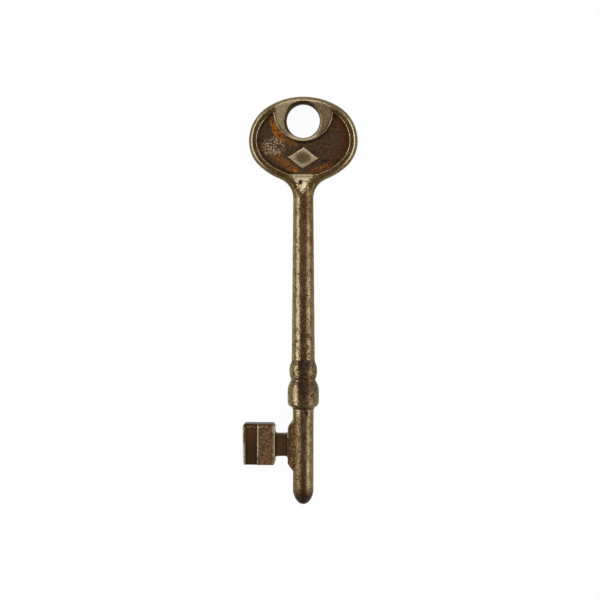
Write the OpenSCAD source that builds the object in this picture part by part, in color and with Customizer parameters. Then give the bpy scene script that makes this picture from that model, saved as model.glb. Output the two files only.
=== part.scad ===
// Bit key for a rim or mortice lock: an oval bow with a hanging eye, a tapered shank,
// two turned collars, a flag bit on a thin web and a plain round pilot.
// The stem runs along Y with the bow at +Y, the bit reaches out to -X and +Z is the front.
// The origin is on the stem's axis, halfway along the straight pilot. Millimetres.

/* [Pilot and stem] */
// Radius of the pilot
pilot_r = 2.13; // [1.8:0.01:2.2]
// Straight length of the pilot below the bit
pilot_len = 3.9; // [2.5:0.1:6]
// Length of the rounded tip
tip_len = 3.02; // [2.3:0.02:3.4]
// Radius of the small nose that ends the tip
nose_r = 1.55; // [1.1:0.05:1.7]
// Bare rod between the bit's root and the lower collar
throat_len = 2.25; // [1.5:0.05:4]
// How much the rod gains in radius from the pilot up to its shoulder under the shank
rod_gain = 0.04; // [0.03:0.01:0.07]
// Length of the tapered shank between the collars and the bow
shank_len = 32.5; // [24:0.5:45]
// Radius of the shank where it leaves the upper collar
shank_low_r = 2.38; // [2.28:0.01:2.45]
// Radius of the shank where it meets the bow's neck
neck_r = 2.07; // [1.9:0.01:2.2]

/* [Collars] */
// Length of the lower collar, from its foot to the groove
barrel_len = 5.95; // [5:0.05:8]
// Radius of the lower collar's barrel
barrel_r = 3.21; // [2.9:0.01:3.6]
// Radius of the rounded shoulder that leads from the barrel up into the groove
barrel_crown_r = 4.1; // [3.4:0.1:6]
// Radius of the rounded corner at the barrel's foot
barrel_foot_r = 1; // [0.5:0.05:1.1]
// Radius of the hollow between the barrel's foot and the rod
foot_hollow_r = 0.5; // [0.3:0.05:0.7]
// Length of the upper collar, from the groove to the shank
bead_len = 4.15; // [3.6:0.05:6]
// Radius of the upper collar's bead
bead_r = 2.86; // [2.7:0.01:3.2]
// Radius of the bead's crown, seen from the side
bead_crown_r = 4; // [3:0.1:5]
// Radius of the hollow between the bead and the shank
bead_hollow_r = 1.5; // [0.8:0.1:2]
// Radius of the key at the bottom of the groove
groove_r = 2.5; // [2.42:0.01:2.6]
// Radius of the groove's hollow
groove_hollow_r = 0.5; // [0.3:0.05:0.8]

/* [Bit] */
// Reach of the bit from the stem's axis
bit_reach = 12.26; // [10:0.1:14]
// Width of the bit's block along the reach
block_w = 6.6; // [5.5:0.1:7.4]
// Height of the block along the stem
block_h = 8.45; // [7:0.05:10]
// Thickness of the block
block_t = 3; // [2.4:0.1:4]
// Radius of the block's corners, seen from the front
block_corner_r = 0.7; // [0.3:0.05:1]
// Radius along the block's long edges
block_edge_r = 0.35; // [0.2:0.05:0.5]
// How far the block sits above the middle of the bit's root
block_lift = 0.25; // [0:0.05:0.6]
// Height of the web between the block and the root
web_h = 4.55; // [3.5:0.05:5.5]
// Thickness of the web
web_t = 2; // [1.4:0.1:2.4]
// Radius of the fillets at the web's ends
web_fillet_r = 0.5; // [0.2:0.05:0.7]
// Reach of the root lug from the stem's axis
lug_reach = 3.15; // [2.8:0.05:4]
// Height of the root lug at its outer edge
lug_h = 7.2; // [6.6:0.1:8]
// Height of the root lug along the stem
root_h = 10.4; // [9:0.05:12]
// Thickness of the root lug
lug_t = 2.9; // [2.4:0.1:3.4]
// Width of the land at the block's free edge
edge_land_w = 0.55; // [0.4:0.05:0.8]
// Width of the ward channel in the block's front face
channel_w = 2.4; // [1.5:0.05:3]
// Depth of the ward channel
channel_depth = 0.4; // [0.2:0.05:0.6]
// Width of the ridge beside the ward channel
ridge_w = 0.35; // [0.25:0.05:0.6]
// Width of the shallow panel between the ridge and the inner land
panel_w = 2.75; // [2:0.05:3]
// Depth of the shallow panel
panel_depth = 0.15; // [0.1:0.05:0.3]
// Thickness of the tang that the root sets into the stem
tang_t = 1.6; // [1.2:0.1:2]
// Depth of the tang inside the rod
tang_depth = 1.3; // [0.8:0.1:1.6]
// Bare root above and below the tang
tang_margin = 1; // [0.6:0.1:1.6]

/* [Bow] */
// Width of the oval bow
bow_w = 21.9; // [20:0.1:25]
// Height of the bow above its widest line
bow_rise = 8.86; // [8.6:0.02:9.6]
// Depth of the bow below its widest line
bow_drop = 8.5; // [7.8:0.02:8.8]
// Width of the rim bead, seen from the front
rim_w = 1.8; // [1.5:0.05:1.9]
// Thickness of the bow at the rim
rim_t = 3.2; // [2.8:0.1:3.4]
// Radius of the rim's inner edges
rim_edge_r = 0.35; // [0.25:0.05:0.65]
// Thickness of the sunk field inside the rim
field_t = 1.8; // [1.4:0.1:2]
// How much slimmer the rim is all round where it runs across the neck as the field's sill
sill_shy = 0.08; // [0.08:0.02:0.2]
// Radius of the concave fillets from the neck out to the rim
neck_fillet_r = 4.1; // [3.8:0.02:5.2]
// Radius of the hanging eye at its throat
eye_r = 3.3; // [3.1:0.01:3.6]
// Height of the eye's centre above the bow's widest line
eye_rise = 3.92; // [3.8:0.01:4.1]
// How much each mouth of the eye flares out in radius
eye_flare = 0.44; // [0.3:0.02:0.5]
// Depth of the flare at each mouth
eye_flare_depth = 0.55; // [0.4:0.05:0.7]
// Radius of the round boss that makes the crescent below the eye
boss_r = 6; // [5.9:0.05:6.4]
// Height of the boss's centre above the bow's widest line
boss_rise = 5.75; // [5.6:0.01:6]
// Rounding of the boss's edge
boss_edge_r = 0.3; // [0.15:0.05:0.5]
// Width of the plain lozenge below the eye
lozenge_w = 6.6; // [5:0.1:8]
// Height of the lozenge
lozenge_h = 4.7; // [3.6:0.1:5]
// How far the lozenge stands off the field
lozenge_proud = 0.4; // [0.2:0.05:0.6]
// Width of the slope round the lozenge's edge
lozenge_slope = 0.25; // [0.2:0.05:0.7]
// Distance of the lozenge's centre below the bow's widest line
lozenge_fall = 3.4; // [3:0.05:3.6]
// Turn of the lozenge in degrees, clockwise seen from the front
lozenge_turn = 3; // [0:0.5:5]
// Length of the neck's round core, up to the end of the sloped facet
neck_core_len = 4.35; // [3.8:0.05:4.6]
// Length of the round neck below the point of the sloped facet
facet_start = 0.6; // [0.4:0.05:1.4]
// Width of the sloped facet where it ends at the field
facet_w = 3.4; // [2.8:0.1:3.6]

/* [Seats] */
// Radial gap filled with braze between a round seat and what sits on it
braze_gap = 0.05; // [0.02:0.01:0.08]
// Thickness of the lower collar's lip where its foot runs out on the rod
collar_lip = 0.05; // [0.02:0.01:0.1]
// Radius of the shank's tenon in the bow
tenon_r = 1.1; // [0.8:0.05:1.2]
// Length of the tenon
tenon_len = 3; // [2:0.1:3.2]
// Room left beyond the end of the tenon
tenon_relief = 0.15; // [0.1:0.05:0.3]

/* [Hidden] */
$fn = 96;
// Overrun of a cutter past the faces that it opens
cut = 1;
// A form that runs on inside its neighbour is drawn in by this much, so no faces coincide
tuck = 0.01;
// Angle that a tucked stretch of the rim runs on
tuck_turn = 0.6;

// Places along the stem, counted from the origin
root_y = pilot_len / 2;
tip_y = -pilot_len / 2;
root_mid_y = root_y + root_h / 2;
collar_y = root_y + root_h + throat_len;
groove_y = collar_y + barrel_len;
shank_y = groove_y + bead_len;
seam_y = shank_y + shank_len;
// Radius of the slightly tapered rod above the pilot
function rod_r(y) = pilot_r + rod_gain * (y - root_y) / (shank_y - root_y);
collar_bore_r = rod_r(shank_y) + braze_gap;

// The bow is an oval of four arcs. Each half of it has a height and a share of radius that
// its end arcs give up as the half flattens; its long arc is the one that meets them smoothly.
half_w = bow_w / 2;
upper_half = [bow_rise, 0.475];
lower_half = [bow_drop, 0.81];
function end_r(half) = half[0] * (1 - half[1] * (1 - half[0] / half_w));
function long_r(half) = let (h = half[0], r = end_r(half))
    (pow(half_w - r, 2) + h * h - r * r) / (2 * (h - r));
// Angle at which the end arc hands over to the long arc
function handover(half) = atan2(long_r(half) - half[0], half_w - end_r(half));

// The bow's centre follows from the fillets, which touch the neck at the seam
low_long_r = long_r(lower_half);
low_long_y = seam_y + sqrt(pow(low_long_r + neck_fillet_r, 2) - pow(neck_r + neck_fillet_r, 2));
bow_y = low_long_y - low_long_r + bow_drop;
fillet_x = neck_r + neck_fillet_r;
fillet_angle = atan2(low_long_y - seam_y, fillet_x);
rim_half_t = rim_t / 2;
field_half_t = field_t / 2;
// The rim's outer flank has the neck's own radius, so this is where it reaches full height
rim_crest_u = neck_r - sqrt(neck_r * neck_r - rim_half_t * rim_half_t);
// The boss is cut off in the middle of the rim's narrow crest, level with it
crest_inset = (rim_crest_u + rim_w - rim_edge_r) / 2;
// The neck's round core is drawn in a hair inside the fillets' flanks
neck_core_r = neck_r - tuck;

// Points along an arc round (x, y)
function arc_points(x, y, r, from, to, steps = 12) =
    [for (i = [0:steps]) let (t = from + (to - from) * i / steps) [x + r * cos(t), y + r * sin(t)]];
// Points of one half of the oval drawn in by inset, going from angle 0 to 180
function half_oval(half, inset) = let (
    r = end_r(half) - inset,
    long = long_r(half),
    turn = handover(half),
    x = half_w - end_r(half)
) concat(
    arc_points(x, 0, r, 0, turn),
    arc_points(0, half[0] - long, long - inset, turn, 180 - turn),
    arc_points(-x, 0, r, 180 - turn, 180)
);
function flip(points) = [for (p = points) [-p[0], -p[1]]];
module oval(inset) {
    polygon(concat(half_oval(upper_half, inset), flip(half_oval(lower_half, inset))));
}

// An outline drawn with radius along x and the stem's axis along y, turned into a round
module turned(outline) {
    rotate([-90, 0, 0])
        rotate_extrude()
            polygon(outline);
}

// Outline of the stem: a small nose arc runs into a larger flank arc, then the straight
// pilot, the rod up to its shoulder, the tapered shank and the tenon
module stem_round() {
    rise = tip_len - nose_r;
    flank_r = (pilot_r * pilot_r + rise * rise - nose_r * nose_r) / (2 * (pilot_r - nose_r));
    meet = atan2(rise, flank_r - pilot_r);
    turned(concat(
        arc_points(0, tip_y - rise, nose_r, -90, -meet),
        arc_points(pilot_r - flank_r, tip_y, flank_r, -meet, 0),
        [
            [pilot_r, root_y],
            [rod_r(shank_y), shank_y],
            [shank_low_r, shank_y],
            [neck_r, seam_y],
            [tenon_r, seam_y],
            [tenon_r, seam_y + tenon_len],
            [0, seam_y + tenon_len]
        ]
    ));
}

// The tang's block in the rod, drawn larger by gap to make its slot
module tang(gap, overrun) {
    low = root_y + tang_margin - gap;
    high = root_y + root_h - tang_margin + gap;
    inner_x = -pilot_r + tang_depth + gap;
    translate([-pilot_r - overrun, low, -tang_t / 2 - gap])
        cube([inner_x + pilot_r + overrun, high - low, tang_t + 2 * gap]);
}

module stem() {
    color([0.44, 0.36, 0.24])
        difference() {
            stem_round();
            tang(braze_gap, cut);
        }
}

// The two collars meet at the bottom of the groove, where each has half of its hollow. The
// hollow's arc runs tangent into a crown arc, given by the crown's centre radius and its own.
function groove_turn(centre_r, crown_r) =
    acos((groove_r + groove_hollow_r - centre_r) / (crown_r + groove_hollow_r));

// Upper collar: half of the groove, the bead's crown and a hollow that runs out on the shank
module upper_collar() {
    centre_r = bead_r - bead_crown_r;
    start = groove_turn(centre_r, bead_crown_r);
    centre_y = groove_y + (bead_crown_r + groove_hollow_r) * sin(start);
    end = acos((shank_low_r + bead_hollow_r - centre_r) / (bead_crown_r + bead_hollow_r));
    hollow_y = centre_y + (bead_crown_r + bead_hollow_r) * sin(end);
    color([0.5, 0.41, 0.27])
        turned(concat(
            [[collar_bore_r, groove_y]],
            arc_points(groove_r + groove_hollow_r, groove_y, groove_hollow_r, 180, 180 - start),
            arc_points(centre_r, centre_y, bead_crown_r, -start, end),
            arc_points(shank_low_r + bead_hollow_r, hollow_y, bead_hollow_r, 180 + end, 180),
            [[shank_low_r, shank_y], [collar_bore_r, shank_y]]
        ));
}

// Lower collar: a hollow that runs out on the rod, the round foot, the barrel and its crown
module lower_collar() {
    foot_x = barrel_r - barrel_foot_r;
    hollow_x = collar_bore_r + collar_lip + foot_hollow_r;
    foot_turn = acos((hollow_x - foot_x) / (barrel_foot_r + foot_hollow_r));
    foot_y = collar_y + (barrel_foot_r + foot_hollow_r) * sin(foot_turn);
    centre_r = barrel_r - barrel_crown_r;
    end = groove_turn(centre_r, barrel_crown_r);
    centre_y = groove_y - (barrel_crown_r + groove_hollow_r) * sin(end);
    color([0.47, 0.38, 0.25])
        turned(concat(
            [[collar_bore_r, collar_y]],
            arc_points(hollow_x, collar_y, foot_hollow_r, 180, 180 - foot_turn),
            arc_points(foot_x, foot_y, barrel_foot_r, -foot_turn, 0),
            arc_points(centre_r, centre_y, barrel_crown_r, 0, end),
            arc_points(groove_r + groove_hollow_r, groove_y, groove_hollow_r, 180 + end, 180),
            [[collar_bore_r, groove_y]]
        ));
}

// Rectangle with true round corners, its lower left corner at the origin
module rounded_box(w, h, r) {
    translate([r, 0])
        square([w - 2 * r, h]);
    translate([0, r])
        square([w, h - 2 * r]);
    for (x = [r, w - r], y = [r, h - r])
        translate([x, y])
            circle(r);
}

// Block of the bit: its front outline meets the section that slides through the keyhole
module block() {
    low = root_mid_y + block_lift - block_h / 2;
    intersection() {
        translate([-bit_reach, low, -block_t])
            linear_extrude(2 * block_t)
                rounded_box(block_w, block_h, block_corner_r);
        translate([-bit_reach, low, 0])
            rotate([90, 0, 0])
                mirror([0, 0, 1])
                    linear_extrude(block_h)
                        keyhole_section();
    }
}
module keyhole_section() {
    face = block_t / 2;
    difference() {
        translate([0, -face])
            rounded_box(block_w, block_t, block_edge_r);
        translate([edge_land_w, face - channel_depth])
            square([channel_w, channel_depth + cut]);
        translate([edge_land_w + channel_w + ridge_w, face - panel_depth])
            square([panel_w, panel_depth + cut]);
    }
}

// Web between the block and the lug, with a fillet in each of its four corners
module web() {
    outer_x = -bit_reach + block_w;
    mid = root_mid_y + block_lift / 2;
    translate([0, 0, -web_t / 2])
        linear_extrude(web_t) {
            translate([outer_x - block_edge_r, mid - web_h / 2])
                square([block_edge_r - outer_x - pilot_r - braze_gap, web_h]);
            for (side = [-1, 1], end = [0, 1])
                translate([end == 0 ? outer_x : -lug_reach, mid + side * web_h / 2])
                    mirror([end, 0])
                        mirror([0, side < 0 ? 1 : 0])
                            corner_fillet(web_fillet_r);
        }
}
// Fills the corner between the y axis and the x axis, with its root sunk in both
module corner_fillet(r) {
    difference() {
        translate([-block_edge_r, -block_edge_r])
            square(r + block_edge_r);
        translate([r, r])
            circle(r);
    }
}

// Lug that spreads the bit's root along the stem, with sloped shoulders
module lug() {
    translate([0, 0, -lug_t / 2])
        linear_extrude(lug_t)
            polygon([
                [-pilot_r / 2, root_y],
                [-pilot_r, root_y],
                [-lug_reach, root_mid_y - lug_h / 2],
                [-lug_reach, root_mid_y + lug_h / 2],
                [-pilot_r, root_y + root_h],
                [-pilot_r / 2, root_y + root_h]
            ]);
}

// The rod's own taper, drawn larger by the braze gap, to hollow the face that sits on it
module rod_seat(low, high) {
    translate([0, low, 0])
        rotate([-90, 0, 0])
            cylinder(h = high - low, r1 = rod_r(low) + braze_gap, r2 = rod_r(high) + braze_gap);
}

module bit() {
    color([0.36, 0.28, 0.18]) {
        difference() {
            union() {
                block();
                web();
                lug();
            }
            rod_seat(root_y - cut, root_y + root_h + cut);
        }
        tang(0, braze_gap + cut / 2);
    }
}

// Section of the rim, u inward from the outline and v through the thickness, drawn in all
// round by shy. Its outer flank is part of a round as thick as the neck.
module rim_section(shy) {
    crest_u = rim_w - rim_edge_r;
    crest_v = rim_half_t - shy;
    flank_turn = asin(crest_v / (neck_r - shy));
    polygon(concat(
        arc_points(neck_r, 0, neck_r - shy, 180 + flank_turn, 180 - flank_turn),
        arc_points(crest_u, rim_half_t - rim_edge_r, rim_edge_r - shy, 90, 0, 6),
        arc_points(crest_u, rim_edge_r - rim_half_t, rim_edge_r - shy, 0, -90, 6)
    ));
}
// One stretch of the rim round a centre: bulge is 1 for the oval and -1 for a neck fillet.
// A stretch that is drawn in by shy runs on inside its neighbours at both ends.
module rim_arc(x, y, r, from, to, bulge, shy) {
    run_on = shy > 0 ? tuck_turn : 0;
    translate([x, y, 0])
        rotate_extrude(angle = to - from + 2 * run_on, start = from - run_on)
            translate([r, 0])
                mirror([bulge > 0 ? 1 : 0, 0])
                    rim_section(shy);
}
// The oval's arcs, the sill that closes them across the neck, and the two neck fillets,
// which stop a hair above the seam
module rim() {
    rise_turn = handover(upper_half);
    drop_turn = handover(lower_half);
    rise_r = end_r(upper_half);
    drop_r = end_r(lower_half);
    crown_r = long_r(upper_half);
    rim_arc(0, bow_y + bow_rise - crown_r, crown_r, rise_turn, 180 - rise_turn, 1, 0);
    rim_arc(0, low_long_y, low_long_r, fillet_angle - 180, -fillet_angle, 1, sill_shy);
    for (side = [0, 1])
        mirror([side, 0, 0]) {
            rim_arc(half_w - rise_r, bow_y, rise_r, 0, rise_turn, 1, tuck);
            rim_arc(half_w - drop_r, bow_y, drop_r, -drop_turn, 0, 1, 0);
            rim_arc(0, low_long_y, low_long_r, -fillet_angle, -drop_turn, 1, tuck);
            rim_arc(fillet_x, seam_y, neck_fillet_r, 180 - fillet_angle, 180 - tuck_turn / 2, -1, 0);
        }
}

// Round core of the neck, and the metal between the fillets and the sill, a hair lower than
// the sill's crest
module neck() {
    fill_half_t = rim_half_t - sill_shy - tuck;
    fill_r = neck_fillet_r + (rim_crest_u + crest_inset) / 2;
    fill_h = sin(fillet_angle) * fill_r;
    translate([0, seam_y, 0])
        rotate([-90, 0, 0])
            cylinder(h = neck_core_len, r = neck_core_r);
    translate([0, 0, -fill_half_t])
        linear_extrude(2 * fill_half_t)
            difference() {
                translate([-fillet_x, seam_y + tuck])
                    square([2 * fillet_x, fill_h]);
                for (side = [-1, 1])
                    translate([side * fillet_x, seam_y])
                        circle(fill_r);
                translate([0, bow_y])
                    oval(crest_inset);
            }
}

// Sloped facets that are cut into both faces of the neck: each is a triangle that starts on
// the round of the neck, gets wider and deeper, and drops off to the field through the sill
module facet_cutter() {
    end_z = sqrt(neck_core_r * neck_core_r - facet_w * facet_w / 4);
    facet_len = neck_core_len - facet_start;
    slope = (neck_core_r - end_z) / facet_len;
    start_y = seam_y + facet_start;
    for (side = [0, 1])
        mirror([0, 0, side])
            intersection() {
                linear_extrude(neck_r + cut)
                    polygon([
                        [0, start_y],
                        [facet_w / 2, start_y + facet_len],
                        [facet_w / 2, start_y + facet_len + cut],
                        [-facet_w / 2, start_y + facet_len + cut],
                        [-facet_w / 2, start_y + facet_len]
                    ]);
                translate([-facet_w, 0, 0])
                    rotate([90, 0, 90])
                        linear_extrude(2 * facet_w)
                            polygon([
                                [start_y - cut, neck_core_r + slope * cut],
                                [start_y + facet_len, end_z],
                                [start_y + facet_len, field_half_t + tuck],
                                [start_y + facet_len + 2 * cut, field_half_t + tuck],
                                [start_y + facet_len + 2 * cut, neck_r + 2 * cut],
                                [start_y - cut, neck_r + 2 * cut]
                            ]);
            }
}

// Boss round the hanging eye, level with the rim's crest and cut off along it
module boss() {
    half_t = rim_half_t - tuck;
    edge_x = boss_r - boss_edge_r;
    edge_z = half_t - boss_edge_r;
    intersection() {
        translate([0, bow_y + boss_rise, 0])
            rotate_extrude()
                polygon(concat(
                    [[0, half_t]],
                    arc_points(edge_x, edge_z, boss_edge_r, 90, 0, 6),
                    arc_points(edge_x, -edge_z, boss_edge_r, 0, -90, 6),
                    [[0, -half_t]]
                ));
        translate([0, bow_y, -rim_t])
            linear_extrude(2 * rim_t)
                oval(crest_inset);
    }
}

// Plain lozenge with sloped sides, where two long wedge bars cross
module lozenge() {
    tilt = atan2(lozenge_h, lozenge_w);
    bar = lozenge_w * sin(tilt);
    translate([0, bow_y - lozenge_fall, 0])
        intersection_for (turn = [-tilt, tilt])
            rotate([0, 0, turn - lozenge_turn])
                rotate([90, 0, 90])
                    translate([0, 0, -lozenge_w])
                        linear_extrude(2 * lozenge_w)
                            polygon([
                                [-bar / 2, 0],
                                [bar / 2, 0],
                                [bar / 2, field_half_t],
                                [bar / 2 - lozenge_slope, field_half_t + lozenge_proud],
                                [lozenge_slope - bar / 2, field_half_t + lozenge_proud],
                                [-bar / 2, field_half_t]
                            ]);
}

// Hanging eye: a straight throat between two flared mouths
module eye_cutter() {
    grow = 1 + cut / eye_flare_depth;
    translate([0, bow_y + eye_rise, 0]) {
        cylinder(h = rim_t, r = eye_r, center = true);
        for (side = [0, 1])
            mirror([0, 0, side])
                translate([0, 0, rim_half_t - eye_flare_depth])
                    cylinder(h = eye_flare_depth * grow, r1 = eye_r, r2 = eye_r + eye_flare * grow);
    }
}

module bow() {
    color([0.4, 0.31, 0.2])
        difference() {
            union() {
                rim();
                translate([0, bow_y, -field_half_t])
                    linear_extrude(field_t)
                        oval(crest_inset);
                neck();
                boss();
                lozenge();
            }
            facet_cutter();
            eye_cutter();
            translate([0, seam_y - cut, 0])
                rotate([-90, 0, 0])
                    cylinder(h = cut + tenon_len + tenon_relief, r = tenon_r + braze_gap);
        }
}

bow();
stem();
upper_collar();
lower_collar();
bit();
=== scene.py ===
# %% [markdown]
# # An old skeleton key, dressed over its solid model
# The solids give the key its true size and shape: an oval bow with a hanging eye, a tapered
# shank, two collars, a flag bit and a plain pilot. This script gives each of them the skin of
# a casting that has lain in a drawer for a hundred years, with rust in its hollows and a
# golden shine where hands have rubbed it. Loading the frame comes first, because every piece
# sits where its solid sits. The frame is in metres, and `MM` turns its lengths into mm.

# %% Load the frame
import math
import random
from types import SimpleNamespace

import bmesh
import bpy
import numpy as np
from mathutils import Matrix, Vector, noise


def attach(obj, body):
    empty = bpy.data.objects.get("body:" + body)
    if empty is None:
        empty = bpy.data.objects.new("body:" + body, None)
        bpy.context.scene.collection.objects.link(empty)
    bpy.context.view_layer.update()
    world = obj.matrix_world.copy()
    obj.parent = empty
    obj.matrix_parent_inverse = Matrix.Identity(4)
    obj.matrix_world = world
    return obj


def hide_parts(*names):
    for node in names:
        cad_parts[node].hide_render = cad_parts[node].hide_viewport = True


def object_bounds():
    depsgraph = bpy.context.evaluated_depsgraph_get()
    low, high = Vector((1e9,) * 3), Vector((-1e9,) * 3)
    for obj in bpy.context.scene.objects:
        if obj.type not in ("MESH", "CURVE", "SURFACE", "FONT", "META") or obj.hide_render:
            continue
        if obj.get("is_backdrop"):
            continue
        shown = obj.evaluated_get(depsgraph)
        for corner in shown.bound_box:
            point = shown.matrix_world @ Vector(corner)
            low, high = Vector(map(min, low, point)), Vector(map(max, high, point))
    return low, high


MM = 1000.0

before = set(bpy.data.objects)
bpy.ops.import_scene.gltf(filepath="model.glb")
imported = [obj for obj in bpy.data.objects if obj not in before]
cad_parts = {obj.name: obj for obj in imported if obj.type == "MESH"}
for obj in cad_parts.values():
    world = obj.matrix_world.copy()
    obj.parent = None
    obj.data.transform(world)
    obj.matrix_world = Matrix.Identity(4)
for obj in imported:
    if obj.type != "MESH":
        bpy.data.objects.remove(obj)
bounds_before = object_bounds()
print("nodes:", sorted(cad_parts))
print("size in mm:", [round(MM * side, 2) for side in bounds_before[1] - bounds_before[0]])

# %% [markdown]
# ## A working copy of a solid
# The solids arrive as loose triangles in metres. A working copy has its doubles merged, so
# that it is one closed skin, and is drawn up to millimetres: Blender's voxel remesh can't go
# finer than a tenth of a millimetre when one unit is a metre, and mm are easier to think in.

# %% Copy a node into a bmesh, in millimetres
def solid_in_mm(node):
    bm = bmesh.new()
    bm.from_mesh(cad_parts[node].data)
    loose = len(bm.verts)
    bmesh.ops.scale(bm, vec=(MM, MM, MM), verts=bm.verts)
    bmesh.ops.remove_doubles(bm, verts=bm.verts, dist=0.0005)
    print(f"{node}: {loose} loose points merged into {len(bm.verts)}")
    return bm


# %% [markdown]
# ## Turned pieces: cut, keep the outline, spin
# The stem and the collars are round, so their shape is one outline turned about the Y axis.
# The outline is already in the solid: a plane through the axis cuts the working copy, and
# only the cut line on the +X side is kept. Its long edges are divided, because the skin needs
# small faces to take the dents of the casting later, and then it is spun full circle.
#
# Spin lists the edges and faces that it makes in another order each time it runs. `in_order`
# sorts them by the numbers of their points and builds the mesh anew from that list, so that
# every run gives the same key to the last digit.

# %% Spin a node's own outline into an even skin
def whole(bm):
    return bm.verts[:] + bm.edges[:] + bm.faces[:]


def open_edges(bm):
    return sum(not edge.is_manifold for edge in bm.edges)


def in_order(bm):
    bm.verts.index_update()
    for parts in (bm.edges, bm.faces):
        ranked = sorted(parts, key=lambda part: sorted(v.index for v in part.verts))
        for rank, part in enumerate(ranked):
            part.index = rank
        parts.sort()
    listed = bpy.data.meshes.new("listed")
    bm.to_mesh(listed)
    bm.clear()
    bm.from_mesh(listed)
    bpy.data.meshes.remove(listed)


def turned(node, spacing, steps):
    bm = solid_in_mm(node)
    bmesh.ops.bisect_plane(
        bm, geom=whole(bm), plane_no=(0, 0, 1), clear_outer=True, clear_inner=True,
    )
    bmesh.ops.bisect_plane(bm, geom=whole(bm), plane_no=(1, 0, 0), clear_inner=True)
    bmesh.ops.remove_doubles(bm, verts=bm.verts, dist=0.002)
    straight = math.radians(0.4)
    bmesh.ops.dissolve_limit(bm, angle_limit=straight, verts=bm.verts, edges=bm.edges)
    on_axis = [e for e in bm.edges if all(v.co.x < 0.001 for v in e.verts)]
    bmesh.ops.delete(bm, geom=on_axis, context="EDGES")
    for cuts in (32, 16, 8, 4, 2, 1):
        too_long = [e for e in bm.edges if e.calc_length() > (cuts + 0.5) * spacing]
        bmesh.ops.subdivide_edges(bm, edges=too_long, cuts=cuts)
    bmesh.ops.spin(
        bm, geom=bm.verts[:] + bm.edges[:], cent=(0, 0, 0), axis=(0, 1, 0), dvec=(0, 0, 0),
        angle=math.tau, steps=steps, use_merge=True,
    )
    bmesh.ops.remove_doubles(bm, verts=bm.verts, dist=0.001)
    in_order(bm)
    bmesh.ops.recalc_face_normals(bm, faces=bm.faces)
    print(f"{node}: spun into {len(bm.verts)} points, {open_edges(bm)} open edges")
    return bm


fine = 1.0
stem_skin = turned("stem", 0.16 * fine, 96)
upper_skin = turned("upper_collar", 0.12 * fine, 112)
lower_skin = turned("lower_collar", 0.12 * fine, 112)

# %% [markdown]
# ## Cast pieces: one even skin, then soften it
# The bow and the bit come out of a sand mould: their edges are never sharp, and the metal
# flows from one form into the next. A voxel remesh lays an even net over the working copy,
# about a tenth of a millimetre wide, and a few rounds of smoothing take the edges off as
# years in a pocket do.
#
# Smoothing would round the cut end of the bow too, and leave a dark ring where it meets the
# stem. So that end is pushed out past the seam first, and a plane cuts it flush afterwards.

# %% Recast a working copy with an even skin
BOW_VOXEL = 0.112


def soften(bm, points, rounds):
    for turn in range(rounds):
        bmesh.ops.smooth_vert(
            bm, verts=points, factor=0.5, use_axis_x=True, use_axis_y=True, use_axis_z=True,
        )


def cast(bm, node, voxel):
    mesh = bpy.data.meshes.new(node + "_pattern")
    bm.to_mesh(mesh)
    pattern = bpy.data.objects.new(node + "_pattern", mesh)
    bpy.context.scene.collection.objects.link(pattern)
    remesh = pattern.modifiers.new("even skin", "REMESH")
    remesh.mode = "VOXEL"
    remesh.voxel_size = voxel
    remesh.adaptivity = 0
    ready = pattern.evaluated_get(bpy.context.evaluated_depsgraph_get())
    even = bpy.data.meshes.new_from_object(ready)
    bm.clear()
    bm.from_mesh(even)
    bpy.data.objects.remove(pattern)
    soften(bm, bm.verts, 3)


bow_skin = solid_in_mm("bow")
seam_y = min(v.co.y for v in bow_skin.verts)
end = [v for v in bow_skin.verts if v.co.y < seam_y + 0.01]
bmesh.ops.translate(bow_skin, verts=end, vec=(0, -0.6, 0))
cast(bow_skin, "bow", BOW_VOXEL * fine)
print(f"bow: seam at {seam_y:.2f}, {len(bow_skin.verts)} points, {open_edges(bow_skin)} open edges")

# %% [markdown]
# ## The bit's root
# In the real key the bit's lug flows into the rod. So a slice of rod, a hair thinner than the
# true one, is cast in one with the bit, and the crease between the two is smoothed many times
# more than the rest. What comes out is a soft fillet that rises out of the stem's own skin.
# The part of the slice that lies deep inside the stem is cut away, and a flat face closes it.

# %% The bit, cast in one with a slice of the rod
BIT_VOXEL = 0.07

bit_skin = solid_in_mm("bit")
root_ys = [v.co.y for v in bit_skin.verts if v.co.x > -2.2]
root_low = min(root_ys)
root_high = max(root_ys)
rod_r = max(v.co.x for v in stem_skin.verts if root_low < v.co.y < root_high)
slice_r = rod_r - 0.05
middle_of_root = Matrix.Translation((0, (root_low + root_high) / 2, 0))
bmesh.ops.create_cone(
    bit_skin, cap_ends=True, segments=128, radius1=slice_r, radius2=slice_r,
    depth=root_high - root_low - 0.2,
    matrix=middle_of_root @ Matrix.Rotation(math.radians(90), 4, "X"),
)
cast(bit_skin, "bit", BIT_VOXEL * fine)
cut = bmesh.ops.bisect_plane(
    bit_skin, geom=whole(bit_skin), plane_co=(-0.9, 0, 0), plane_no=(1, 0, 0), clear_outer=True,
)
rim = [e for e in cut["geom_cut"] if isinstance(e, bmesh.types.BMEdge)]
bmesh.ops.holes_fill(bit_skin, edges=rim)
near_rod = [v for v in bit_skin.verts if rod_r - 0.5 < v.co.xz.length < rod_r + 0.75]
crease = [v for v in near_rod if v.co.x < -1.0]
soften(bit_skin, crease, 60)
print(f"bit: root from {root_low:.2f} to {root_high:.2f}, rod radius {rod_r:.2f}")
print(f"bit: {len(bit_skin.verts)} points, {open_edges(bit_skin)} open edges")

# %% [markdown]
# ## A hundred years of wear
# No face of an old casting is true. Slow noise in space pushes each point in a little, never
# out, so the key stays inside its solid. The noise reads the place and not the piece, so the
# unevenness runs on across the seams. Rust pits are round dents, each with a place, a radius
# and a depth: three large ones have fixed places, and the rest are drawn at random from a
# fixed seed. A turned piece isn't pushed along its axis, so its ends stay on the seams.

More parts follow.
